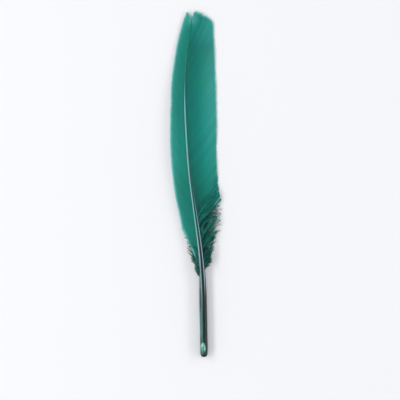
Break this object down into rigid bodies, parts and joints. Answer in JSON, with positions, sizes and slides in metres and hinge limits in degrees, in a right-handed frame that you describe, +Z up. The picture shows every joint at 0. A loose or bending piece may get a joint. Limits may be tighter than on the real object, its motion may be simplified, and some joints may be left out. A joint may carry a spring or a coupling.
{
  "type": "goose quill feather",
  "caption": "Dyed quill feather lying flat: a bare glossy quill, a bowed shaft, a narrow and a broad vane with a split tip, and wispy down below the vanes.",
  "frame": {"origin": "on the surface it lies on, under the middle of the feather's box", "axes": "+Y from the quill's end to the feather's tip, +X towards the broad vane, +Z up out of the feather's upper side"},
  "size_m": [0.0222, 0.1502, 0.0051],
  "materials": {
    "horn": "gloss",
    "vane": "satin",
    "down": "matte"
  },
  "bodies": {
    "root": {"quill_shaft": "horn", "narrow_vane": "vane", "wide_vane": "vane", "narrow_side_down": "down", "wide_side_down": "down"}
  },
  "joints": []
}
